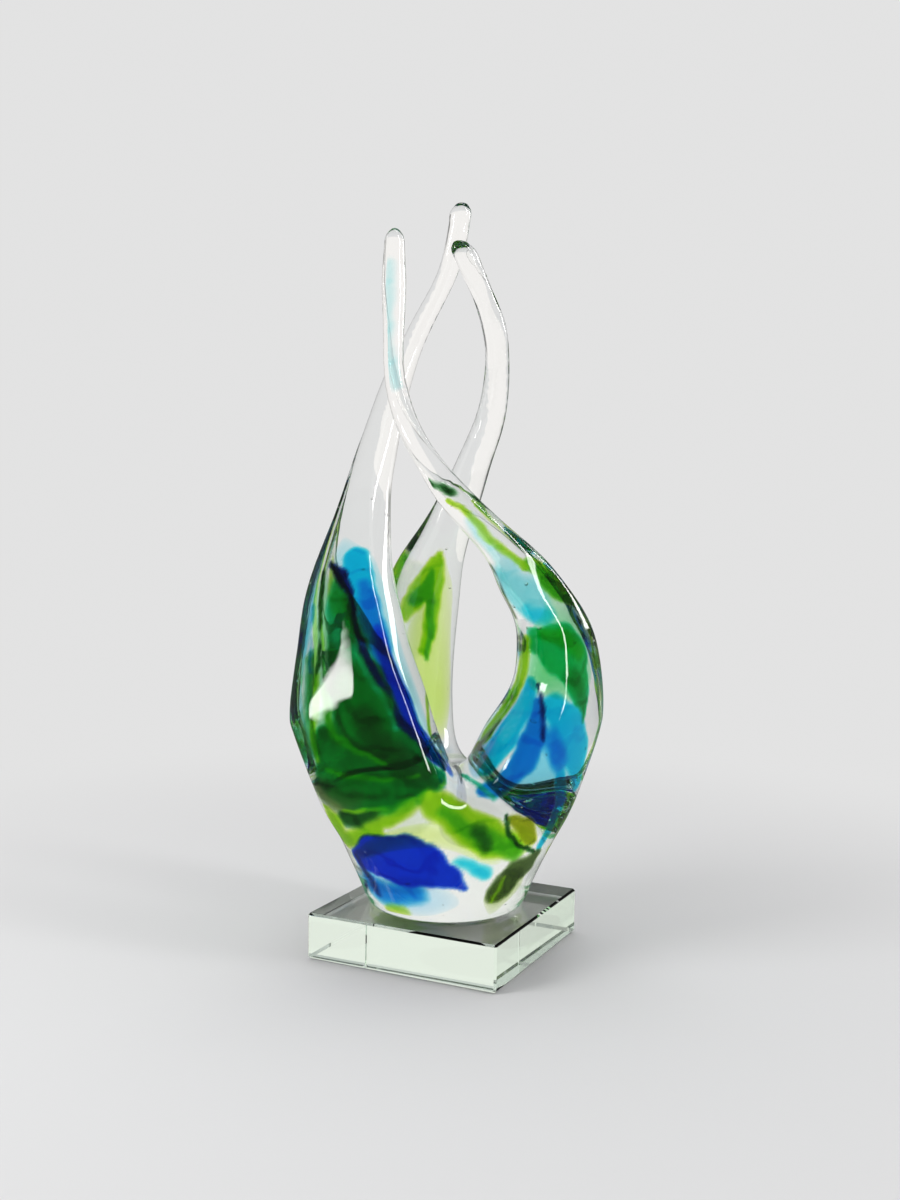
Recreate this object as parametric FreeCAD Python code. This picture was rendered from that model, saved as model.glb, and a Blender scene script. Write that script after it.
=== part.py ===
import FreeCAD, Part
import bisect
import math
import os

# Glass wave sculpture: a clear glass body with a round foot and three twisted arms, streaks of
# coloured glass cased inside it, and a square crystal base that the foot is bonded to.
# Millimetres, +Z up. The origin is the centre of the base's underside, its front face looks to -Y.

# Crystal base
base_side = 80.0
base_height = 18.0
base_bevel = 0.8

# Bond between base and foot
adhesive_thickness = 0.3
adhesive_inset = 1.5

# Clear glass body. Its layout is drawn looking at the broad side and turned on the base.
body_turn = 26.0
arm_rise = 223.7
body_reach = 60.0
foot_radius = 30.0
foot_rounding = 1.2
bowl_radius = 45.0
bowl_height = 52.0
arm_width = 56.0
arm_depth = 46.0
tip_length = 5.4

# Section drawing
body_section_count = 16
streak_section_count = 12
tip_angles = (0, 32, 57, 76)
half_turns = ((0, 0.5), (0.5, 1))

# The bowl's outline from the foot up: share of its height, share of the widening to its radius
flare_shares = ((0.0, 0.0), (0.08, 0.16), (0.19, 0.37), (0.34, 0.62), (0.50, 0.86), (0.63, 1.0))

# The bowl's rounded top between the arms: share of its height, share of its radius
dome_shares = ((0.745, 1.0), (0.84, 0.91), (0.917, 0.733), (0.975, 0.42), (1.0, 0.0))

# Form that the arms share, by share of their rise above the bowl: how much wider the outer side of a
# section is than its inner side, and how square its corners are (2 is an ellipse)
form_shares = (
    (-0.118, 0.30, 2.4),
    (0.035, 0.30, 2.6),
    (0.159, 0.29, 2.8),
    (0.299, 0.23, 2.6),
    (0.432, 0.12, 2.4),
    (0.562, 0.03, 2.15),
    (0.630, 0.0, 2.0),
    (1.000, 0.0, 2.0),
)

# Each arm's stations: share of the rise above the bowl, share of its reach to the right and to the
# back, share of the arm's half width and half depth, and where the outer side looks in degrees
left_arm_shares = (
    (-0.118, -0.210, -0.245, 0.540, 0.800, 245),
    (-0.073, -0.290, -0.300, 0.820, 0.980, 245),
    (-0.028, -0.345, -0.330, 0.930, 1.020, 245),
    (0.035, -0.400, -0.340, 0.960, 1.000, 243),
    (0.097, -0.480, -0.320, 0.925, 0.955, 240),
    (0.159, -0.520, -0.300, 0.865, 0.890, 236),
    (0.231, -0.565, -0.265, 0.750, 0.760, 232),
    (0.299, -0.595, -0.215, 0.680, 0.650, 228),
    (0.365, -0.603, -0.150, 0.550, 0.550, 225),
    (0.432, -0.577, -0.067, 0.425, 0.457, 221),
    (0.500, -0.540, 0.025, 0.320, 0.375, 216),
    (0.562, -0.492, 0.117, 0.285, 0.330, 208),
    (0.620, -0.440, 0.200, 0.255, 0.288, 195),
    (0.683, -0.375, 0.275, 0.215, 0.245, 180),
    (0.750, -0.280, 0.317, 0.165, 0.192, 170),
    (0.813, -0.167, 0.333, 0.144, 0.175, 160),
    (0.879, -0.045, 0.325, 0.140, 0.170, 150),
    (0.942, 0.015, 0.300, 0.146, 0.178, 150),
    (1.000, 0.043, 0.283, 0.153, 0.187, 150),
)
back_arm_shares = (
    (-0.118, -0.115, 0.275, 0.560, 0.820, 112),
    (-0.073, -0.190, 0.375, 0.750, 0.915, 112),
    (-0.028, -0.257, 0.460, 0.810, 0.900, 112),
    (0.035, -0.328, 0.525, 0.868, 0.805, 112),
    (0.097, -0.335, 0.550, 0.835, 0.740, 112),
    (0.159, -0.305, 0.567, 0.757, 0.674, 112),
    (0.231, -0.248, 0.575, 0.653, 0.610, 111),
    (0.299, -0.183, 0.575, 0.546, 0.543, 108),
    (0.365, -0.123, 0.558, 0.450, 0.478, 103),
    (0.432, -0.018, 0.517, 0.343, 0.417, 95),
    (0.500, 0.083, 0.458, 0.279, 0.357, 84),
    (0.562, 0.170, 0.400, 0.232, 0.304, 70),
    (0.620, 0.247, 0.333, 0.210, 0.260, 58),
    (0.683, 0.285, 0.250, 0.182, 0.222, 40),
    (0.745, 0.283, 0.133, 0.164, 0.200, 20),
    (0.804, 0.227, 0.000, 0.160, 0.190, 0),
    (0.857, 0.127, -0.150, 0.153, 0.182, -30),
    (0.912, 0.028, -0.250, 0.160, 0.195, -60),
)
right_arm_shares = (
    (-0.118, 0.260, -0.130, 0.540, 0.820, -30),
    (-0.073, 0.360, -0.155, 0.740, 0.980, -30),
    (-0.028, 0.430, -0.165, 0.830, 1.000, -30),
    (0.035, 0.508, -0.158, 0.980, 0.900, -29),
    (0.097, 0.595, -0.158, 0.880, 0.800, -28),
    (0.159, 0.672, -0.167, 0.715, 0.675, -28),
    (0.222, 0.675, -0.210, 0.590, 0.600, -31),
    (0.280, 0.625, -0.283, 0.445, 0.535, -37),
    (0.334, 0.510, -0.358, 0.385, 0.460, -46),
    (0.384, 0.395, -0.425, 0.290, 0.390, -56),
    (0.428, 0.237, -0.475, 0.235, 0.335, -68),
    (0.477, 0.058, -0.483, 0.218, 0.273, -84),
    (0.527, -0.092, -0.450, 0.175, 0.217, -100),
    (0.576, -0.220, -0.392, 0.153, 0.195, -118),
    (0.629, -0.312, -0.308, 0.150, 0.182, -135),
    (0.697, -0.370, -0.233, 0.133, 0.167, -148),
    (0.768, -0.377, -0.183, 0.140, 0.174, -158),
    (0.840, -0.380, -0.133, 0.160, 0.200, -165),
    (0.893, -0.382, -0.100, 0.143, 0.178, -165),
    (0.938, -0.380, -0.083, 0.120, 0.148, -165),
)
arms = {"left": left_arm_shares, "back": back_arm_shares, "right": right_arm_shares}

# Coloured streaks inside an arm: share of the arms' rise, place along the arm's width and
# depth as shares of its half width and half depth, and half sizes as the same shares. A streak
# runs out to a point at its first and last station.
arm_streak_shares = {
    "left_emerald_streak": ("left", (
        (-0.046, 0.10, 0.30, 0.0, 0.0),
        (-0.017, -0.02, 0.28, 0.55, 0.28),
        (0.039, -0.08, 0.26, 0.56, 0.34),
        (0.100, -0.10, 0.25, 0.55, 0.36),
        (0.162, -0.12, 0.24, 0.53, 0.36),
        (0.224, -0.15, 0.22, 0.48, 0.36),
        (0.285, -0.28, 0.20, 0.40, 0.32),
        (0.322, -0.42, 0.18, 0.24, 0.22),
        (0.347, -0.48, 0.18, 0.0, 0.0),
    )),
    "left_blue_streak": ("left", (
        (0.020, 0.74, 0.28, 0.0, 0.0),
        (0.045, 0.70, 0.26, 0.10, 0.16),
        (0.100, 0.67, 0.24, 0.15, 0.30),
        (0.162, 0.66, 0.22, 0.17, 0.34),
        (0.231, 0.61, 0.20, 0.19, 0.36),
        (0.298, 0.46, 0.18, 0.25, 0.40),
        (0.353, 0.16, 0.16, 0.36, 0.40),
        (0.384, -0.02, 0.14, 0.28, 0.30),
        (0.408, -0.14, 0.14, 0.0, 0.0),
    )),
    "left_aqua_streak": ("left", (
        (0.106, -0.78, 0.10, 0.0, 0.0),
        (0.162, -0.80, 0.12, 0.06, 0.24),
        (0.242, -0.78, 0.14, 0.07, 0.30),
        (0.310, -0.80, 0.12, 0.06, 0.24),
        (0.371, -0.74, 0.10, 0.0, 0.0),
    )),
    "back_lime_streak": ("back", (
        (0.020, -0.55, -0.28, 0.0, 0.0),
        (0.069, -0.48, -0.26, 0.28, 0.30),
        (0.159, -0.36, -0.22, 0.42, 0.38),
        (0.242, -0.22, -0.20, 0.42, 0.38),
        (0.316, -0.20, -0.18, 0.34, 0.34),
        (0.365, -0.16, -0.16, 0.20, 0.24),
        (0.390, -0.14, -0.14, 0.0, 0.0),
    )),
    "right_azure_streak": ("right", (
        (-0.041, -0.05, 0.48, 0.0, 0.0),
        (-0.011, -0.10, 0.44, 0.42, 0.24),
        (0.039, -0.14, 0.40, 0.50, 0.32),
        (0.088, -0.14, 0.36, 0.46, 0.34),
        (0.115, -0.12, 0.34, 0.26, 0.24),
        (0.127, -0.10, 0.34, 0.0, 0.0),
    )),
    "right_inner_blue_streak": ("right", (
        (-0.023, -0.24, -0.38, 0.0, 0.0),
        (0.008, -0.22, -0.42, 0.46, 0.18),
        (0.063, -0.20, -0.46, 0.50, 0.20),
        (0.119, -0.14, -0.48, 0.40, 0.18),
        (0.168, -0.08, -0.48, 0.0, 0.0),
    )),
    "right_emerald_streak": ("right", (
        (0.137, -0.06, 0.14, 0.0, 0.0),
        (0.162, -0.08, 0.14, 0.42, 0.40),
        (0.211, -0.08, 0.12, 0.56, 0.46),
        (0.254, -0.06, 0.12, 0.54, 0.46),
        (0.291, -0.02, 0.30, 0.38, 0.32),
        (0.328, 0.00, 0.46, 0.26, 0.20),
        (0.369, 0.02, 0.52, 0.0, 0.0),
    )),
    "right_aqua_streak": ("right", (
        (0.291, -0.08, -0.34, 0.0, 0.0),
        (0.316, -0.08, -0.30, 0.42, 0.28),
        (0.353, -0.08, -0.24, 0.46, 0.34),
        (0.381, -0.06, -0.20, 0.30, 0.26),
        (0.399, -0.04, -0.18, 0.0, 0.0),
    )),
}

# Coloured streaks that stand in the bowl: share of its height, bearing of the middle and half
# spread in degrees, distance from the axis and half thickness as shares of its radius there
bowl_streak_shares = {
    "foot_cobalt_streak": (
        (0.045, 243, 0, 0.70, 0.0),
        (0.10, 241, 30, 0.72, 0.11),
        (0.20, 239, 41, 0.74, 0.14),
        (0.35, 229, 36, 0.75, 0.14),
        (0.46, 232, 20, 0.75, 0.10),
        (0.52, 236, 0, 0.75, 0.0),
    ),
    "foot_olive_streak": (
        (0.045, -49, 0, 0.72, 0.0),
        (0.15, -47, 12, 0.74, 0.12),
        (0.30, -42, 14, 0.75, 0.13),
        (0.42, -38, 0, 0.76, 0.0),
    ),
    "bowl_lime_drop": (
        (0.50, -41, 0, 0.78, 0.0),
        (0.57, -41, 8, 0.78, 0.09),
        (0.66, -42, 9, 0.78, 0.10),
        (0.76, -42, 0, 0.78, 0.0),
    ),
}

# The belt that crosses the bowl's front: bearing in degrees, share of the bowl's height, share of
# its radius, and half height and half thickness as shares of the same two sizes
belt_shares = (
    (204, 0.48, 0.80, 0.0, 0.0),
    (216, 0.54, 0.80, 0.060, 0.060),
    (232, 0.63, 0.80, 0.080, 0.075),
    (248, 0.69, 0.80, 0.090, 0.080),
    (264, 0.70, 0.80, 0.090, 0.080),
    (280, 0.64, 0.80, 0.085, 0.075),
    (294, 0.54, 0.80, 0.060, 0.060),
    (304, 0.48, 0.80, 0.0, 0.0),
)

foot_level = base_height + adhesive_thickness
up = FreeCAD.Vector(0, 0, 1)
axis_foot = FreeCAD.Vector(0, 0, 0)


def sloped_row(rows, height):
    """Return a table's values and their slopes at a height share, eased between its stations."""
    heights = [row[0] for row in rows]
    after = min(max(bisect.bisect(heights, height), 1), len(rows) - 1)
    low, high = rows[after - 1], rows[after]
    span = high[0] - low[0]
    ease = min(max((height - low[0]) / span, 0), 1)
    values = []
    slopes = []
    for column in range(1, len(low)):
        start = station_slope(rows, after - 1, column) * span
        end = station_slope(rows, after, column) * span
        rise = high[column] - low[column]
        curve = 3 * rise - 2 * start - end
        twist = start + end - 2 * rise
        values.append(low[column] + ease * (start + ease * (curve + ease * twist)))
        slopes.append((start + ease * (2 * curve + ease * 3 * twist)) / span)
    return values, slopes


def station_slope(rows, index, column):
    """Return how fast one column changes at a station."""
    before = max(index - 1, 0)
    after = min(index + 1, len(rows) - 1)
    return (rows[after][column] - rows[before][column]) / (rows[after][0] - rows[before][0])


def power(value, exponent):
    """Raise the size of a value to a power and keep its sign."""
    return math.copysign(abs(value) ** exponent, value)


def arm_level(height):
    """Return the level of a height share of the arms, counted from the bowl's top."""
    return foot_level + bowl_height + height * arm_rise


def arm_frame(arm, height):
    """Return an arm's centre, half sizes, outer bearing, form and lean at a height share."""
    (across, back, width, depth, bearing), slopes = sloped_row(arms[arm], height)
    (wedge, corner), form_slopes = sloped_row(form_shares, height)
    centre = FreeCAD.Vector(across * body_reach, back * body_reach, arm_level(height))
    lean = FreeCAD.Vector(slopes[0], slopes[1], 0) * (body_reach / arm_rise)
    return centre, width * arm_width / 2, depth * arm_depth / 2, math.radians(bearing), wedge, corner, lean


def arm_point(frame, across, outward, scale=1):
    """Place a point given as shares of an arm's half width and half depth at one height.

    A leaning arm keeps its size across its own run, so its level section is stretched along the lean.
    """
    centre, half_width, half_depth, bearing, wedge, corner, lean = frame
    side = across * (1 + wedge * outward) * half_width * scale
    depth = outward * half_depth * scale
    offset = FreeCAD.Vector(
        depth * math.cos(bearing) - side * math.sin(bearing),
        depth * math.sin(bearing) + side * math.cos(bearing),
        0,
    )
    if lean.Length > 0:
        along = FreeCAD.Vector(lean).normalize()
        offset += along * (offset.dot(along) * (math.hypot(1, lean.Length) - 1))
    return centre + offset


def ring_curve(ring):
    """Return a smooth closed curve through a ring of points, spaced alike on every ring."""
    curve = Part.BSplineCurve()
    steps = [index / len(ring) for index in range(len(ring) + 1)]
    curve.interpolate(Points=ring, PeriodicFlag=True, Parameters=steps)
    return curve


def is_tip(ring):
    """Say whether a ring is one point repeated."""
    return (ring[0] - ring[len(ring) // 2]).Length == 0


def skinned_solid(rings, levels):
    """Return a solid whose side runs smoothly through rings of points set at rising levels.

    A ring that is one point repeated closes its end in a rounded tip, and any other end is flat.
    The side is two faces, one for each half turn.
    """
    around = [None if is_tip(ring) else ring_curve(ring) for ring in rings]
    pattern = next(curve for curve in around if curve)
    poles = [curve.getPoles() if curve else [ring[0]] * pattern.NbPoles for curve, ring in zip(around, rings)]
    along = []
    for column in zip(*poles):
        curve = Part.BSplineCurve()
        curve.interpolate(Points=list(column), Parameters=levels)
        along.append(curve)
    side = Part.BSplineSurface()
    side.buildFromPolesMultsKnots(
        [curve.getPoles() for curve in along],
        pattern.getMultiplicities(),
        along[0].getMultiplicities(),
        pattern.getKnots(),
        along[0].getKnots(),
        True,
        False,
        pattern.Degree,
        along[0].Degree,
    )
    low, high = levels[0], levels[-1]
    faces = [side.toShape(start, end, low, high) for start, end in half_turns]
    for ring, level in ((rings[0], low), (rings[-1], high)):
        if not is_tip(ring):
            rim = side.vIso(level)
            faces.append(Part.Face(Part.Wire([rim.toShape(start, end) for start, end in half_turns])))
    return Part.Solid(Part.Shell(faces))


def turns(count):
    """Return evenly spaced angles around a full turn."""
    return [2 * math.pi * index / count for index in range(count)]


def arm_ring(arm, height, scale=1):
    """Return points on the level outline of an arm at a height share."""
    frame = arm_frame(arm, height)
    bearing, corner = frame[3], frame[5]
    return [
        arm_point(
            frame,
            power(math.cos(turn - bearing), 2 / corner),
            power(math.sin(turn - bearing), 2 / corner),
            scale,
        )
        for turn in turns(body_section_count)
    ]


def arm_solid(arm):
    """Return an arm from inside the bowl to its rounded tip."""
    top = arms[arm][-1][0]
    tip = tip_length / arm_rise
    levels = [row[0] for row in arms[arm] if row[0] < top - 1.5 * tip]
    rings = [arm_ring(arm, level) for level in levels]
    for angle in tip_angles:
        turn = math.radians(angle)
        levels.append(top - tip * (1 - math.sin(turn)))
        rings.append(arm_ring(arm, levels[-1], math.cos(turn)))
    levels.append(top)
    rings.append([arm_frame(arm, top)[0]] * body_section_count)
    return skinned_solid(rings, levels)


def bowl_radius_at(height):
    """Return the bowl's radius at a share of its height below its widest line."""
    values, slopes = sloped_row(flare_shares, height)
    return foot_radius + values[0] * (bowl_radius - foot_radius)


def bowl_solid():
    """Turn the bowl's outline about its axis: flat foot, flaring side and rounded top."""
    outline = [FreeCAD.Vector(bowl_radius_at(row[0]), 0, row[0] * bowl_height) for row in flare_shares]
    outline += [FreeCAD.Vector(row[1] * bowl_radius, 0, row[0] * bowl_height) for row in dome_shares]
    side = Part.BSplineCurve()
    side.interpolate(Points=outline)
    foot_edge = Part.LineSegment(axis_foot, outline[0])
    axis_edge = Part.LineSegment(outline[-1], axis_foot)
    face = Part.Face(Part.Wire([foot_edge.toShape(), side.toShape(), axis_edge.toShape()]))
    bowl = face.revolve(axis_foot, up, 360)
    foot_edges = [edge for edge in bowl.Edges if abs(edge.BoundBox.ZMax) < foot_rounding / 10 and edge.Closed]
    bowl = bowl.makeFillet(foot_rounding, foot_edges)
    bowl.translate(up * foot_level)
    return bowl


def oval(across, outward, half_width, half_depth):
    """Return the points of an oval as pairs of shares; with no size they all fall on its middle."""
    return [
        (across + half_width * math.cos(turn), outward + half_depth * math.sin(turn))
        for turn in turns(streak_section_count)
    ]


def arm_streak(arm, rows):
    """Return a coloured streak with level sections that follow the arm it lies in."""
    rings = []
    for height, *place in rows:
        frame = arm_frame(arm, height)
        rings.append([arm_point(frame, across, outward) for across, outward in oval(*place)])
    return skinned_solid(rings, [row[0] for row in rows])


def bowl_point(bearing, distance, height):
    """Place a point in the bowl by bearing in degrees, distance from the axis and height."""
    turn = math.radians(bearing)
    return FreeCAD.Vector(distance * math.cos(turn), distance * math.sin(turn), foot_level + height)


def bowl_streak(rows):
    """Return a coloured streak with level sections that bend round the bowl's axis."""
    rings = []
    for height, bearing, spread, middle, half_thick in rows:
        radius = bowl_radius_at(height)
        rings.append([
            bowl_point(turned, distance * radius, height * bowl_height)
            for turned, distance in oval(bearing, middle, spread, half_thick)
        ])
    return skinned_solid(rings, [row[0] for row in rows])


def belt_streak(rows):
    """Return the belt with upright sections set around the bowl's axis."""
    rings = []
    for bearing, height, middle, half_height, half_thick in rows:
        rings.append([
            bowl_point(bearing, distance * bowl_radius, level * bowl_height)
            for distance, level in oval(middle, height, half_thick, half_height)
        ])
    return skinned_solid(rings, [row[0] for row in rows])


def crystal_base():
    """Return the square base with a fine bevel along every edge."""
    block = Part.makeBox(base_side, base_side, base_height, FreeCAD.Vector(-base_side / 2, -base_side / 2, 0))
    return block.makeChamfer(base_bevel, block.Edges)


def adhesive_film():
    """Return the thin round bond between the base and the foot."""
    radius = foot_radius - foot_rounding - adhesive_inset
    return Part.makeCylinder(radius, adhesive_thickness, FreeCAD.Vector(0, 0, base_height))


def coloured_streaks():
    """Return every coloured streak by its name, in the body's own layout."""
    streaks = {name: arm_streak(arm, rows) for name, (arm, rows) in arm_streak_shares.items()}
    streaks.update({name: bowl_streak(rows) for name, rows in bowl_streak_shares.items()})
    streaks["bowl_lime_belt"] = belt_streak(belt_shares)
    return streaks


def clear_body(streaks):
    """Join the bowl and the arms and leave a matching hollow for every coloured streak."""
    body = bowl_solid().fuse([arm_solid(arm) for arm in arms])
    return body.cut(list(streaks.values()))


def main():
    """Write every piece of the sculpture to its own file."""
    streaks = coloured_streaks()
    pieces = {"clear_glass_body": clear_body(streaks)}
    pieces.update(streaks)
    for piece in pieces.values():
        piece.rotate(axis_foot, up, body_turn)
    pieces["crystal_base"] = crystal_base()
    pieces["adhesive_film"] = adhesive_film()
    os.makedirs("parts", exist_ok=True)
    for name, piece in pieces.items():
        solids = piece.Solids
        print(name, "solids", len(solids), "valid", piece.isValid(), "volume", round(piece.Volume, 1))
        shape = solids[0] if len(solids) == 1 else piece
        shape.exportStep(os.path.join("parts", name + ".step"))


main()
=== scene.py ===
"""Glass wave sculpture: three clear glass arms with streaks of colour twist up from a square base.

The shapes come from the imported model. Hot glass has no sharp valleys, so the clear body is given
an even skin and its valleys are filled as a flame would fill them. The colours are painted in zones
on a thin coat under the clear casing. The streaks of coloured glass deeper inside tint light by how
far it runs through them.
"""

import math

import bmesh
import bpy
import numpy as np
from bpy.props import FloatProperty, FloatVectorProperty, IntProperty, PointerProperty
from bpy.types import Operator, Panel, PropertyGroup
from mathutils import Matrix, Vector, noise


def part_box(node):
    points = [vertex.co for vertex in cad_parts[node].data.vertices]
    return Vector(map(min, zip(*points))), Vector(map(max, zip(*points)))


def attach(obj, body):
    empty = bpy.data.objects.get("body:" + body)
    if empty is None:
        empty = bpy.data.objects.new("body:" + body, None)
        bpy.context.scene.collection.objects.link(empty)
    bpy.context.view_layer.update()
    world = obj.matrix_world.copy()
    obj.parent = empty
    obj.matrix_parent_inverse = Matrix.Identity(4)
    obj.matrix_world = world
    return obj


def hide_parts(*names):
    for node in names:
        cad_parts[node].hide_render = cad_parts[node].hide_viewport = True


bl_info = {
    "name": "Glass Wave Sculpture",
    "version": (1, 0, 0),
    "blender": (4, 5, 0),
    "location": "View3D > Sidebar > Sculpture",
    "description": "Builds the glass wave sculpture's pieces and its studio around the packed model",
    "category": "Object",
}

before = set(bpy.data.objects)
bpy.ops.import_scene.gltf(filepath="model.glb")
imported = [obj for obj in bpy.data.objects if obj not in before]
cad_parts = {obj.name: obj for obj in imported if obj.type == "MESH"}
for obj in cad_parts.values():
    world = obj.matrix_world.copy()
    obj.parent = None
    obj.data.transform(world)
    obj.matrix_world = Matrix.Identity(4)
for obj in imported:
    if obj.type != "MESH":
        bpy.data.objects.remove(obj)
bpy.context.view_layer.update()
MM = 0.001
WHITE = (1, 1, 1, 1)

# Fixed seeds: the swirls of the painted zones, then the bubbles' places, depths and sizes
SWIRL_SEED = 5
PLACE_SEED, DEPTH_SEED, SIZE_SEED = 11, 7, 5

# Smoothing: the share of a pull that a step takes, the push after it, and the share in a valley
PULL_SHARE, PUSH_SHARE, VALLEY_SHARE = 0.5, 0.53, 0.6
ROUNDS_BETWEEN_NORMALS = 8
# Heights over the foot's rim where the filling and the melting begin, and how slowly melting fades
VALLEY_START, MELT_START = 6 * MM, 5 * MM
MELT_FADE_BELOW, MELT_FADE_ABOVE = 6 * MM, 26 * MM
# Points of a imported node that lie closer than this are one
WELD_GAP = 0.002 * MM

# Swirls that the painted edges follow: their spacing, how far they move a point, and their layers
SWIRL_GRAIN, SWIRL_REACH, SWIRL_LAYERS = 12 * MM, 1.4 * MM, 3
# The coat: how much of the tint a ray is spared as it leaves, and how much thick colour shows of itself
COAT_SPARED, COAT_OWN_SHADE = 0.85, 0.16

# Width in millimetres of the film that the camera's focal length is given for
FILM_WIDTH = 36.0
# Light paths: bounces in the glass, and surfaces that are passed without bending
GLASS_BOUNCES, CLEAR_BOUNCES = 96, 16

# Each streak of coloured glass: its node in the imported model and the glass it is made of
STREAKS = {
    "left_emerald_streak": "emerald",
    "left_blue_streak": "azure",
    "left_aqua_streak": "aqua",
    "back_lime_streak": "lime",
    "right_azure_streak": "azure",
    "right_inner_blue_streak": "cobalt",
    "right_emerald_streak": "emerald",
    "right_aqua_streak": "aqua",
    "foot_cobalt_streak": "cobalt",
    "foot_olive_streak": "olive",
    "bowl_lime_drop": "lime",
    "bowl_lime_belt": "lime",
}

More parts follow.
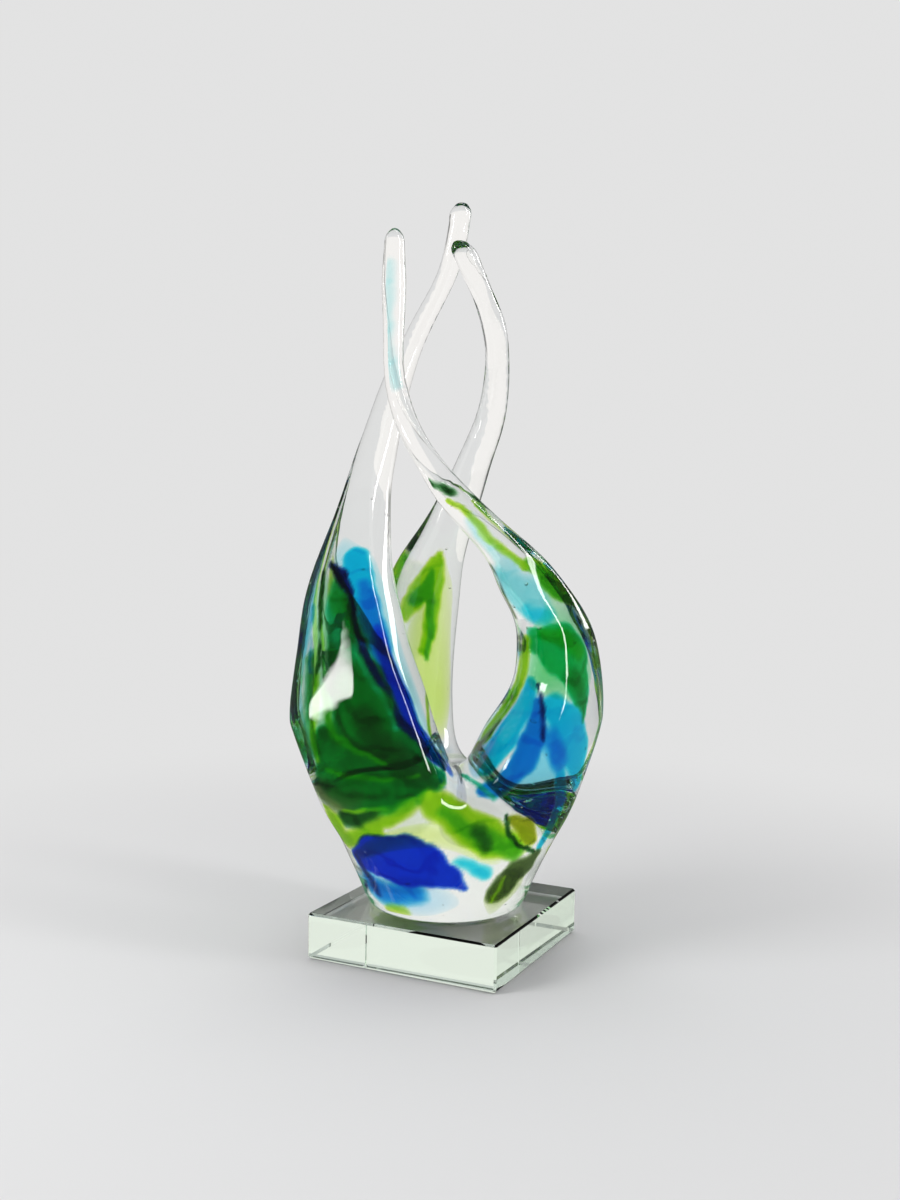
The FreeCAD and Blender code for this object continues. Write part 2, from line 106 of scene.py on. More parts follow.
# Zones of colour under the clear casing, laid one over the other: the colour, the softness of its
# edge in millimetres, how much it covers, and the line that it follows, whose points give a place
# and a half width in millimetres
ZONES = (
    ("emerald", 3.1, 1, (
        (-26.5, -39.6, 139.9, 3.6), (-20.8, -44.2, 125.7, 8), (-14.9, -47.8, 111.8, 12),
        (-8.8, -49.5, 99.3, 14.7), (-4.7, -49.4, 88, 16.4), (1.1, -48, 78.8, 12.4), (10, -43.7, 75.9, 8),
        (13.7, -36.5, 75.4, 3.6),
    )),
    ("emerald", 3.1, 1, (
        (-25.1, -49, 88.8, 6.2), (-20.8, -48.7, 76.1, 10.7), (-15.2, -48.1, 69.2, 7.1),
        (-2.2, -47.6, 70.2, 6.2),
    )),
    ("teal", 4.4, 0.95, (
        (-27.5, -38, 144.2, 3.6), (-27.8, -40.2, 136.1, 4.4), (-23.4, -43.3, 127.7, 4.9),
        (-16.9, -45.9, 120.3, 2.7),
    )),
    ("teal", 1.8, 0.8, ((-15.8, -45.2, 123.9, 1.3), (-6.6, -48.1, 109.5, 1.3), (2.7, -47.2, 96.3, 1.1))),
    ("olive", 6.2, 0.75, ((-29.2, -45.3, 69.2, 5.3), (-20.7, -47.1, 66.5, 5.3), (-13.7, -47.9, 67.5, 3.6))),
    ("deep_green", 4, 0.9, ((-19.7, -45, 59.2, 3.1), (-12.9, -46, 59.8, 3.6), (-6, -46.7, 62.9, 2.2))),
    ("deep_green", 5.3, 0.75, (
        (-10.5, -49.5, 98.4, 4.4), (-3.1, -49.4, 90.3, 5.8), (4, -47.5, 83.3, 5.3),
        (10.8, -42.7, 78.6, 3.6),
    )),
    ("lime", 4.4, 0.95, (
        (-25.7, -42, 57.7, 4), (-24.5, -36.6, 50.1, 4), (-11.7, -43.4, 53.5, 3.6), (-1.5, -45.6, 61, 3.1),
        (6.7, -44.6, 66.9, 2.7),
    )),
    ("lime", 3.6, 1, (
        (12, -41.3, 69.7, 3.6), (17.2, -35.4, 63.6, 5.8), (24.4, -30.9, 57.5, 6.7), (31, -25.9, 52.9, 6.7),
        (35.9, -19.1, 49.9, 4.9),
    )),
    ("leaf", 3.6, 0.75, (
        (16.2, -36.6, 63.8, 1.8), (21.9, -32.7, 58.3, 2.7), (28.2, -28.6, 53.8, 3.6),
        (34.5, -21.3, 50.2, 3.6), (36.2, -16.3, 46.3, 3.1),
    )),
    ("deep_green", 4.4, 0.7, ((26.9, -29.3, 56, 2.7), (29.3, -27.5, 50.8, 2.2))),
    ("clear", 2.7, 1, (
        (-2.1, -44.5, 57, 1.8), (6.9, -43.1, 59.6, 2.7), (14.3, -38.4, 53, 2.7), (22, -32.2, 45.1, 2.7),
    )),
    ("cyan", 3.6, 0.6, ((20.8, -33, 45.2, 1.3), (24.6, -29.2, 42.5, 2.2), (28, -24.3, 39.6, 2.2))),
    ("azure", 6.2, 0.9, ((-15.2, -29.3, 30.3, 4.9), (-6.6, -31.7, 28.9, 4.9), (3.2, -33.2, 31.5, 4))),
    ("cobalt", 2.2, 1, (
        (-17.7, -34.5, 41.6, 5.3), (-6.9, -39.5, 45.2, 10.2), (1.1, -39.1, 44.2, 12.4),
        (9.1, -37.2, 42.8, 9.3), (16.1, -33.2, 39.4, 4.9), (20.5, -28, 34.2, 0.9),
    )),
    ("navy", 3.6, 0.6, ((-19.9, -33.5, 41.9, 1.3), (-17.8, -31, 36, 1.8), (-14.7, -28.8, 28.6, 1.3))),
    ("lime", 3.6, 0.5, ((-10.2, -27.6, 22, 1.8), (-2.8, -29.2, 22, 1.8))),
    ("olive", 2.7, 1, (
        (29.7, -15.7, 31.5, 5.3), (33.6, -13.8, 37.8, 5.8), (36.8, -7.1, 40.5, 4.4),
        (39.3, -3.7, 44.8, 2.2),
    )),
    ("lime", 1.3, 0.8, ((27.5, -16.1, 27.4, 0.9), (29.9, -16.2, 32.5, 0.9), (31.7, -16.7, 36.7, 0.7))),
    ("gold", 2.2, 1, ((37.8, -19.4, 59.9, 2.2), (40.1, -15.9, 57.3, 3.6), (40, -12.2, 51.3, 2.7))),
    ("deep_green", 1.3, 1, (
        (35.5, -21.4, 61.4, 0.7), (35.8, -20.7, 54.6, 1), (37.5, -15.5, 48.6, 0.9),
        (39.1, -6.8, 45.4, 0.7),
    )),
    ("cyan", 2.2, 1, (
        (-23.4, -34.2, 155.7, 4), (-19.5, -37.4, 148.2, 5.3), (-14.5, -40.8, 138.3, 4.4),
        (-10, -42.9, 128.5, 3.6), (-5.8, -44.3, 119.3, 2.2),
    )),
    ("azure", 3.6, 1, ((-17.2, -37.8, 146.1, 2.2), (-12, -41, 135.5, 3.1), (-6.7, -42.9, 123.5, 3.6))),
    ("cobalt", 2.7, 1, (
        (-9.1, -41.8, 129.9, 1.3), (-3.9, -43.5, 117.8, 2.7), (1.6, -44.6, 106.6, 3.1),
        (6.3, -42.9, 96.4, 2.7), (11, -37, 84.6, 2.7), (11.9, -26.4, 76.4, 1.8),
    )),
    ("navy", 1.3, 1, (
        (-32.9, -33.2, 152.6, 0.9), (-26.6, -36.7, 148.6, 3.1), (-21.3, -40.1, 141.6, 1.1),
        (-15.5, -44.3, 127.6, 1.1), (-6.6, -46.9, 113.7, 1.2), (3.6, -46.2, 97.6, 1.3),
        (9.7, -41.4, 87.7, 1.8), (12.5, -32.2, 78.6, 1.3),
    )),
    ("aqua", 3.6, 0.9, ((-40.8, -29.2, 151.1, 1.8), (-41.7, -33.9, 138.5, 1.8), (-41.3, -39.6, 120, 1.8))),
    ("azure", 1.8, 0.7, ((-39.3, -35.9, 136.5, 0.7), (-37.7, -40.2, 124.1, 0.9), (-35, -44, 112.6, 0.7))),
    ("deep_green", 1.3, 0.9, (
        (-36.2, -33.4, 148.7, 0.9), (-35.6, -37.2, 137.7, 1.1), (-31.9, -42.8, 121, 0.9),
        (-32.3, -45.7, 107.8, 0.7),
    )),
    ("lime", 1.8, 0.9, (
        (-31.8, -45, 111.5, 1.1), (-31.9, -47, 100.9, 1.3), (-31.5, -48.2, 88.8, 1.3),
        (-30.4, -47.6, 80.7, 1.1),
    )),
    ("leaf", 1.8, 0.8, (
        (-28.2, -46.6, 106.8, 1.1), (-25.9, -48.3, 97.5, 1.3), (-22.4, -49.2, 90.6, 1.3),
        (-15.4, -49.6, 89.1, 1.1),
    )),
    ("deep_green", 1.3, 0.9, (
        (-25.4, -47.1, 107.1, 0.6), (-17.2, -49.5, 91.2, 0.9), (-7.9, -49.5, 86.2, 1.1),
        (4, -47.5, 84.1, 0.9),
    )),
    ("deep_green", 1.3, 0.9, (
        (-32, -44.6, 71.8, 0.9), (-20.4, -47.8, 69.7, 1.1), (-7.1, -47.8, 68.2, 1.1),
        (6.3, -45.5, 70.7, 0.9), (13.5, -38.7, 73.7, 0.9),
    )),
    ("leaf", 1.3, 0.9, (
        (-24.4, -48.7, 95.5, 1), (-20.6, -49.3, 88.6, 1.1), (-12.9, -49.6, 86.4, 1.1),
        (-1.7, -48.8, 83, 0.9),
    )),
    ("leaf", 1.3, 0.9, (
        (-26.3, -48.1, 77.4, 0.9), (-15.6, -49, 76.4, 1.2), (-1.9, -48.3, 76.3, 1.1),
        (8.8, -44.7, 78.9, 0.9),
    )),
    ("lime", 1.1, 0.8, (
        (-29.7, -42, 62.6, 0.8), (-16.8, -46.5, 62.4, 1), (-2.6, -46.8, 65.6, 1), (9.9, -43.3, 69.9, 0.9),
        (14.4, -34.7, 73.2, 0.9),
    )),
    ("lime", 2.2, 1, (
        (-14.6, 20.6, 154.7, 1.3), (-16.2, 20.4, 144.3, 3.1), (-17.8, 19.1, 131.2, 2.7),
        (-19.4, 17.1, 115.6, 2.2), (0.6, -24.3, 101.8, 1.6), (7.9, -34.4, 90.7, 0.9),
    )),
    ("lime", 2.2, 1, (
        (-16.3, 19.7, 151.8, 2.2), (-20.7, 17, 142.6, 4), (-24.3, 14.9, 135.1, 4),
        (-26.5, 13.1, 128.6, 1.8),
    )),
    ("leaf", 1.8, 1, ((-17.1, 19.4, 147.6, 1.1), (-19.7, 17.5, 140.2, 2.7), (-23.6, 15.2, 136, 2.7))),
    ("leaf", 1.3, 0.9, ((-18.4, 18.5, 137.8, 2.2), (-18.1, 18.8, 127.9, 1.3), (-18.8, 17.8, 111.4, 0.7))),
    ("aqua", 4.4, 1, ((30.2, -17.6, 151.8, 3.6), (34.5, -16.8, 146, 6.2), (41.1, -14.7, 140, 6.7))),
    ("cyan", 4.4, 0.6, ((40.2, -13.3, 137.7, 2.2), (45.7, -11.4, 136.6, 3.1))),
    ("leaf", 2.2, 1, (
        (38.7, -15.3, 155.6, 1.8), (42.9, -10.2, 149.6, 3.1), (46.9, -2.7, 143.9, 3.1),
        (49.4, 4.5, 139.1, 1.3),
    )),
    ("lime", 1.8, 0.8, ((39.5, -13.7, 156.3, 0.9), (43.9, -7.1, 150.9, 1.3), (47.1, -1.3, 144.6, 1.3))),
    ("jade", 1.8, 1, (
        (42.2, -9.4, 125.9, 6.2), (49, -9, 124.6, 8.9), (52.7, -1.9, 117.3, 8.9), (53.7, 1.7, 106.3, 6.2),
        (53.4, 4.1, 95.4, 1.3),
    )),
    ("emerald", 4.4, 0.6, ((52.7, -3.4, 113, 3.6), (53.8, 2.6, 103.2, 3.1), (53.5, 3.6, 97.4, 0.9))),
    ("leaf", 3.6, 0.5, ((44.6, -10.9, 129.2, 2.2), (49.7, -7.6, 128.2, 2.7), (52.8, 1.4, 121.4, 2.7))),
    ("lime", 1.3, 0.9, ((51.7, 7.2, 133.4, 0.9), (53.4, 11.6, 124.2, 1.1), (53.8, 15.5, 113.7, 0.9))),
    ("cyan", 3.1, 0.9, (
        (49.6, -11.2, 101.6, 5.3), (52, -5, 92.2, 9.8), (51.2, 5.3, 81.2, 8), (49.7, 9.4, 71.8, 4),
    )),
    ("azure", 5.3, 0.8, ((48.4, -14.4, 91, 3.1), (49.4, -7.7, 81.1, 4.4))),
    ("cyan", 2.2, 1, (
        (48.8, -5.9, 74.5, 3.1), (47.8, -1.2, 65.1, 3.1), (44.6, -3, 56.1, 2.7), (40.9, -4.4, 48.3, 2.2),
    )),
    ("lime", 2.2, 1, (
        (36.5, -6.6, 126, 2.2), (34.2, -3.8, 113.9, 3.1), (28.7, -4.1, 100.3, 3.6), (22.7, -8.8, 88.9, 4),
    )),
    ("olive", 1.8, 0.8, ((27.6, -9.5, 93.4, 0.9), (21.6, -10, 86, 1.8), (16.7, -7.2, 81, 1.3))),
    ("cyan", 2.2, 1, (
        (38.6, -7.5, 109.2, 2.7), (36.5, -10, 99.9, 4.4), (33.3, -15.6, 89.8, 5.8),
        (25.2, -16.8, 79.5, 4.9),
    )),
    ("azure", 2.2, 1, (
        (42.1, -10.4, 103.7, 1.8), (44, -17.3, 92.1, 3.1), (40.6, -20.4, 81.4, 4),
        (32.5, -21.1, 72.3, 3.1), (24.5, -21.5, 69.5, 2.2),
    )),
    ("navy", 1.3, 0.9, ((41.7, -8.7, 110.4, 0.7), (44.7, -11.9, 101.8, 0.9), (46, -17.2, 90.4, 0.7))),
    ("teal", 1.3, 0.8, ((13.8, -16.1, 72.4, 0.9), (23.2, -20.5, 70.6, 1.1), (30.4, -22, 68.4, 0.9))),
    ("clear", 1.8, 1, (
        (15.2, -29.9, 71.6, 1.3), (22.7, -25.9, 65.6, 2.2), (32.2, -22.9, 63.5, 2.2),
        (39.8, -18.7, 66.1, 2.2), (44.9, -14.6, 71.3, 2.7), (46.8, -9.2, 68.9, 1.8),
        (44.6, -9.2, 60.3, 1.8),
    )),
    ("deep_green", 1.8, 0.85, ((5.9, -28, 184.8, 1.1), (14.2, -28.6, 180.9, 1.3), (20, -21.9, 176.7, 1.1))),
    ("lime", 1.3, 0.8, (
        (13.3, -29.2, 177.5, 0.9), (22.4, -26.8, 171, 1.1), (30.8, -22.5, 162.4, 1.1),
        (38.4, -16.3, 154.2, 1.3),
    )),
    ("aqua", 3.6, 0.5, ((21.1, -27.3, 171, 1.8), (28.5, -23.6, 162, 2.7), (33.6, -20.1, 153.8, 3.6))),
    ("aqua", 3.6, 0.4, (
        (-17.8, -17.7, 266.7, 1.3), (-17.4, -20, 252.4, 1.8), (-16, -22, 235.4, 1.8),
        (-11.7, -24.7, 220.2, 1.8),
    )),
    ("emerald", 4, 0.8, ((-34.5, -17.7, 84.5, 4), (-36.2, -18.4, 98, 5), (-36.8, -18.8, 112, 4))),
    ("lime", 2, 0.9, ((-35.8, -23.3, 63.6, 2), (-41.2, -26.7, 88.3, 2), (-41.5, -25.3, 112.1, 1.6))),
    ("cyan", 4, 0.8, ((44.9, 33.4, 85.4, 4), (47.1, 30.1, 97.3, 4))),
    ("leaf", 3, 0.9, ((46.5, 28, 103.2, 4), (48.7, 23.6, 115.1, 5), (49.1, 17.6, 124.6, 3))),
    ("lime", 2, 0.9, ((42.4, 24.4, 111.3, 2), (45, 15, 128.5, 2.4), (43.5, 6.9, 140.5, 1.6))),
    ("lime", 4, 0.9, (
        (-45.3, 29.9, 64.6, 6), (-46.9, 30.2, 85.8, 7), (-42.3, 31.3, 109.6, 6), (-34, 33.4, 133.5, 5),
        (-28.4, 34, 147.4, 2),
    )),
    ("emerald", 3.5, 0.9, (
        (-53.6, 19.1, 66.9, 5), (-52.9, 21.9, 89.8, 6), (-47.4, 24.4, 111.5, 5), (-42.6, 26.2, 125.4, 2),
    )),
    ("leaf", 3, 0.9, ((-49.9, 27, 81.9, 3), (-44, 28.9, 111.6, 3), (-35, 31.9, 135.5, 2))),
    ("azure", 3.5, 0.9, ((-33.2, 36.7, 57, 5), (-40.2, 36.5, 68.5, 5), (-43.2, 34.7, 79.9, 3))),
    ("lime", 3, 0.7, (
        (-15.7, 41.7, 52.6, 3), (-27.1, 37, 51.2, 4), (-39.8, 26.6, 52.4, 4), (-47.8, 12.7, 55.3, 3),
    )),
    ("cobalt", 3, 0.9, ((-20.4, 28.1, 32.1, 4), (-29.3, 21.3, 35, 5), (-32.7, 11.9, 32.1, 3))),
)


class ShapeSettings(PropertyGroup):
    """Sizes of the finish that hot working leaves on the glass."""

    body_grain: FloatProperty(
        name="Body grain",
        description="Spacing of the skin that covers the clear body",
        default=1.04 * MM,
        unit="LENGTH",
    )
    streak_grain: FloatProperty(
        name="Streak grain",
        description="Spacing of the skin that covers a streak of colour",
        default=0.7 * MM,
        unit="LENGTH",
    )
    polish_rounds: IntProperty(
        name="Polish rounds",
        description="How many times the skin is evened out without shrinking it",
        default=24,
    )
    casing: FloatProperty(
        name="Casing",
        description="Thickness of the clear glass over the colour",
        default=2.4 * MM,
        unit="LENGTH",
    )
    valley_rounds: IntProperty(
        name="Valley rounds",
        description="How many times the valleys between the arms are filled a little",
        default=130,
    )
    bubble_spread: FloatProperty(
        name="Bubble spread",
        description="Bubbles to a square metre of the colour coat",
        default=2600.0,
    )
    bubble_small: FloatProperty(
        name="Smallest bubble",
        description="Radius of the smallest bubble",
        default=0.16 * MM,
        unit="LENGTH",
    )
    bubble_large: FloatProperty(
        name="Largest bubble",
        description="Radius of the largest bubble",
        default=0.75 * MM,
        unit="LENGTH",
    )
    bubble_depth: FloatProperty(
        name="Bubble depth",
        description="How deep under the colour coat a bubble lies at most",
        default=4 * MM,
        unit="LENGTH",
    )
    bubble_top: FloatProperty(
        name="Bubble top",
        description="Height above which the arms are too thin for bubbles",
        default=180 * MM,
        unit="LENGTH",
    )
    bowl_rounds: IntProperty(
        name="Bowl rounds",
        description="How many times the bowl's bumps are melted a little",
        default=420,
    )
    bowl_top: FloatProperty(
        name="Bowl top",
        description="Height under which the bowl's bumps are melted",
        default=92 * MM,
        unit="LENGTH",
    )


def loss_setting(glass, default):
    """Return a setting for what a glass loses to red, green and blue light."""
    return FloatVectorProperty(
        name=glass + " loss",
        description=f"Light that {glass.lower()} glass loses per millimetre",
        default=default,
    )


def tint_setting(tint, default):
    """Return a setting for a tint of the coat."""
    return FloatVectorProperty(
        name=tint + " tint",
        description=f"Light that the {tint.lower()} parts of the coat let through",
        default=default,
        subtype="COLOR",
    )


class GlassSettings(PropertyGroup):
    """Glasses: the light that a streak loses in a millimetre and that a tint of the coat lets through."""

    clear_loss: loss_setting("Clear", (0.0012, 0.0006, 0.0009))
    crystal_loss: loss_setting("Crystal", (0.0016, 0.0003, 0.0015))
    emerald_loss: loss_setting("Emerald", (0.08, 0.012, 0.06))
    lime_loss: loss_setting("Lime", (0.025, 0.006, 0.11))
    olive_loss: loss_setting("Olive", (0.05, 0.035, 0.10))
    cobalt_loss: loss_setting("Cobalt", (0.05, 0.018, 0.002))
    azure_loss: loss_setting("Azure", (0.07, 0.012, 0.002))
    aqua_loss: loss_setting("Aqua", (0.04, 0.006, 0.003))
    emerald: tint_setting("Emerald", (0.004, 0.22, 0.03))
    deep_green: tint_setting("Deep green", (0.006, 0.075, 0.008))
    teal: tint_setting("Teal", (0.01, 0.5, 0.26))
    jade: tint_setting("Jade", (0.006, 0.56, 0.18))
    leaf: tint_setting("Leaf green", (0.05, 0.42, 0.006))
    lime: tint_setting("Lime", (0.32, 0.70, 0.01))
    gold: tint_setting("Gold", (0.34, 0.42, 0.01))
    olive: tint_setting("Olive", (0.07, 0.13, 0.03))
    cyan: tint_setting("Cyan", (0.003, 0.60, 0.88))
    azure: tint_setting("Azure", (0.004, 0.26, 0.80))
    cobalt: tint_setting("Cobalt", (0.003, 0.035, 0.64))
    navy: tint_setting("Navy", (0.004, 0.012, 0.11))
    aqua: tint_setting("Aqua", (0.38, 0.86, 0.9))
    clear: tint_setting("Clear", (0.98, 0.97, 0.95))
    glass_index: FloatProperty(
        name="Refraction",
        description="How strongly the glass bends light",
        default=1.5,
    )


class StageSettings(PropertyGroup):
    """Camera, lamps and background."""

    backdrop: FloatProperty(
        name="Backdrop",
        description="Brightness of the plain background",
        default=0.766,
    )
    camera_eye: FloatVectorProperty(
        name="Eye",
        description="Where the camera stands, measured along its own view: across, back and up",
        default=(0.0, -0.546, 0.189),
        unit="LENGTH",
    )
    camera_turn: FloatProperty(
        name="Turn",
        description="How far the camera stands round the sculpture from its front",
        default=math.radians(26.0),
        subtype="ANGLE",
    )
    camera_pitch: FloatProperty(
        name="Pitch",
        description="How far the camera looks down",
        default=math.radians(5.29),
        subtype="ANGLE",
    )
    camera_roll: FloatProperty(
        name="Roll",
        description="How far the camera leans",
        default=math.radians(0.79),
        subtype="ANGLE",
    )
    camera_lens: FloatProperty(
        name="Lens",
        description="Focal length in millimetres for a long side of 36 mm",
        default=42.0,
    )


class Socket:
    """A node socket that takes part in sums, so that shader maths reads as plain expressions."""

    def __init__(self, finish, socket):
        self.finish = finish
        self.socket = socket

    def _math(self, operation, first, second):
        return self.finish.node("ShaderNodeMath", {"operation": operation}, {0: first, 1: second})

    def __add__(self, other):
        return self._math("ADD", self, other)

    __radd__ = __add__

    def __sub__(self, other):
        return self._math("SUBTRACT", self, other)

    def __rsub__(self, other):
        return self._math("SUBTRACT", other, self)

    def __mul__(self, other):
        return self._math("MULTIPLY", self, other)

    __rmul__ = __mul__

    def larger(self, other):
        return self._math("MAXIMUM", self, other)

    def angle_from(self, other):
        return self._math("ARCTAN2", self, other)

    def arc(self):
        return self._math("ARCSINE", self, 0.0)

    def size(self):
        return self._math("ABSOLUTE", self, 0.0)

    def wrapped(self, length):
        return self._math("FLOORED_MODULO", self, length)

    def clamped(self):
        return self.finish.node("ShaderNodeClamp", {}, {"Value": self})


class Finish:
    """Builds one material's or the world's nodes."""

    def __init__(self, owner):
        owner.use_nodes = True
        self.tree = owner.node_tree
        self.tree.nodes.clear()

    def node(self, kind, settings, inputs, output=0):
        """Add a node, set its settings, then its inputs, and return one of its outputs."""
        made = self.tree.nodes.new(kind)
        for name, value in settings.items():
            setattr(made, name, value)
        for name, value in inputs.items():
            if isinstance(value, Socket):
                self.tree.links.new(value.socket, made.inputs[name])
            else:
                made.inputs[name].default_value = value
        if made.outputs:
            return Socket(self, made.outputs[output])
        return made

    def place(self):
        """Return the place of a point on the object."""
        return self.node("ShaderNodeTexCoord", {}, {}, "Object")

    def path(self, kind):
        """Tell whether a ray is of the given kind."""
        return self.node("ShaderNodeLightPath", {}, {}, kind)

    def only_mirrored(self):
        """Tell whether a ray is mirrored and not bent through glass, which counts as glossy too."""
        return self.path("Is Glossy Ray") * (1 - self.path("Is Transmission Ray"))

    def background(self, colour, strength=1.0):
        """Return plain light of a colour."""
        return self.node("ShaderNodeBackground", {}, {"Color": colour, "Strength": strength})

    def stretched(self, scale):
        """Return the object's coordinates with a scale for each axis."""
        return self.node("ShaderNodeMapping", {}, {"Vector": self.place(), "Scale": scale})

    def clouds(self, vector, scale, detail=2.0, distortion=0.0):
        """Return soft noise from 0 to 1."""
        return self.node(
            "ShaderNodeTexNoise",
            {},
            {"Vector": vector, "Scale": scale, "Detail": detail, "Distortion": distortion},
            "Fac",
        )

    def eased(self, value, low, high, start=0.0, end=1.0):
        """Carry a value from one range to another with soft ends."""
        return self.node(
            "ShaderNodeMapRange",
            {"interpolation_type": "SMOOTHSTEP"},
            {"Value": value, "From Min": low, "From Max": high, "To Min": start, "To Max": end},
        )

    def blend(self, factor, first, second):
        """Mix two colours."""
        mix = self.tree.nodes.new("ShaderNodeMix")
        mix.data_type = "RGBA"
        for name, value in (("Factor", factor), ("A", first), ("B", second)):
            slot = next(s for s in mix.inputs if s.name == name and (name == "Factor" or s.type == "RGBA"))
            if isinstance(value, Socket):
                self.tree.links.new(value.socket, slot)
            else:
                slot.default_value = value
        return Socket(self, next(s for s in mix.outputs if s.type == "RGBA"))

    def times(self, first, second):
        """Multiply two colours."""
        return self.node("ShaderNodeVectorMath", {"operation": "MULTIPLY"}, {0: first, 1: second})

    def bump(self, height, distance):
        """Return a normal from a height."""
        return self.node("ShaderNodeBump", {}, {"Height": height, "Distance": distance})

    def close(self, surface, volume=None, kind="ShaderNodeOutputMaterial"):
        """Link the last nodes to the output."""
        inputs = {"Surface": surface}
        if volume:
            inputs["Volume"] = volume
        self.node(kind, {}, inputs)


def absorption(finish, loss):
    """Return plain absorption for a loss of light per millimetre."""
    density = max(loss) / MM
    colour = [1 - value / max(loss) for value in loss]
    return finish.node("ShaderNodeVolumeAbsorption", {}, {"Color": (*colour, 1), "Density": density})


def clear_glass(name, loss, index, ripple, haze):
    """Return polished glass with the faint ripple of hot work."""
    material = bpy.data.materials.new(name)
    finish = Finish(material)
    wave = finish.clouds(finish.stretched((1, 1, 0.35)), scale=38.0, detail=1.0)
    breath = finish.clouds(finish.stretched((1, 1, 0.4)), scale=60.0, detail=3.0)
    smear = finish.eased(breath, 0.55, 0.85, end=haze)
    surface = finish.node(
        "ShaderNodeBsdfPrincipled",
        {},
        {
            "Base Color": WHITE,
            "Roughness": smear,
            "IOR": index,
            "Transmission Weight": 1.0,
            "Normal": finish.bump(wave, ripple),
        },
    )
    finish.close(surface, absorption(finish, loss))
    return material


def coloured_glass(name, loss):
    """Return coloured glass that is melted into clear glass, so light goes straight in."""
    material = bpy.data.materials.new(name)
    finish = Finish(material)
    veins = finish.clouds(finish.stretched((1, 1, 0.25)), scale=110.0, detail=4.0, distortion=0.6)
    shade = finish.eased(veins, 0.35, 0.75)
    # A vein is as deep in colour as this many more millimetres of the glass
    vein_depth = 1.2
    deep = [math.exp(-value * vein_depth) for value in loss]
    surface = finish.node(
        "ShaderNodeBsdfPrincipled",
        {},
        {
            "Base Color": finish.blend(shade, WHITE, (*deep, 1)),
            "Roughness": 0.0,
            "IOR": 1.0,
            "Transmission Weight": 1.0,
        },
    )
    finish.close(surface, absorption(finish, loss))
    return material


def painted_glass(name):
    """Return a melted coat whose tint is painted on its points, with fine drawn veins and threads."""
    material = bpy.data.materials.new(name)
    finish = Finish(material)
    tint = finish.node("ShaderNodeAttribute", {"attribute_name": "tint"}, {}, "Color")
    veins = finish.clouds(finish.stretched((1, 1, 0.3)), scale=140.0, detail=3.0, distortion=0.8)
    lines = finish.node(
        "ShaderNodeTexWave",
        {"wave_type": "BANDS", "bands_direction": "Z"},
        {"Vector": finish.place(), "Scale": 24.0, "Distortion": 11.0, "Detail": 3.0, "Detail Scale": 1.4},
        "Fac",
    )
    threads = finish.eased(lines, 0.8, 0.99, end=0.7)
    shade = finish.eased(veins, 0.45, 0.8, end=0.6).larger(threads)
    # A melted surface tints light by the root of its colour, so the colour goes in squared
    square = finish.times(tint, tint)
    drawn = finish.blend(shade, square, finish.times(square, tint))
    leaving = finish.node("ShaderNodeNewGeometry", {}, {}, "Backfacing")
    surface = finish.node(
        "ShaderNodeBsdfPrincipled",
        {},
        {
            "Base Color": finish.blend(leaving * COAT_SPARED, drawn, WHITE),
            "Roughness": 0.0,
            "IOR": 1.0,
            "Transmission Weight": 1.0,
        },
    )
    thick = finish.node("ShaderNodeAttribute", {"attribute_name": "tint"}, {}, "Alpha")
    body = finish.node(
        "ShaderNodeBsdfPrincipled",
        {},
        {"Base Color": finish.blend(shade, tint, square), "Specular IOR Level": 0.0, "Roughness": 0.5},
    )
    finish.close(finish.node("ShaderNodeMixShader", {}, {0: thick * COAT_OWN_SHADE, 1: surface, 2: body}))
    return material


def inside_line(points, line):
    """Return how deep points lie inside a line whose width runs from point to point."""
    deepest = np.full(len(points), -np.inf)
    for start, end in zip(line, line[1:]):
        run = end[:3] - start[:3]
        along = np.clip((points - start[:3]) @ run / (run @ run), 0, 1)
        gap = np.linalg.norm(points - start[:3] - along[:, None] * run, axis=1)
        deepest = np.maximum(deepest, start[3] + (end[3] - start[3]) * along - gap)
    return deepest


def drift(points, grain, reach):
    """Move points by slow swirls, so that painted edges wander."""
    noise.seed_set(SWIRL_SEED)
    swirls = [noise.turbulence_vector(Vector(point / grain), SWIRL_LAYERS, False) for point in points]
    moved = np.array(swirls)
    return points + (moved - moved.mean(0)) * reach


def paint(mesh, glass):
    """Paint the zones of colour on a mesh's points as the attribute tint, with its depth as alpha."""
    points = np.empty(len(mesh.vertices) * 3)
    mesh.vertices.foreach_get("co", points)
    points = drift(points.reshape(-1, 3), SWIRL_GRAIN, SWIRL_REACH) / MM
    depth = np.zeros((len(points), 3))
    for colour, softness, cover, line in ZONES:
        share = np.clip(inside_line(points, np.array(line)) / softness + 0.5, 0, 1)
        share = (share * share * (3 - 2 * share) * cover)[:, None]
        depth += (-np.log(np.array(getattr(glass, colour))) - depth) * share
    tint = np.ones((len(points), 4))
    tint[:, :3] = np.exp(-depth)
    tint[:, 3] = 1 - tint[:, :3].min(1)
    layer = mesh.attributes.new("tint", "FLOAT_COLOR", "POINT")
    layer.data.foreach_set("color", tint.ravel())


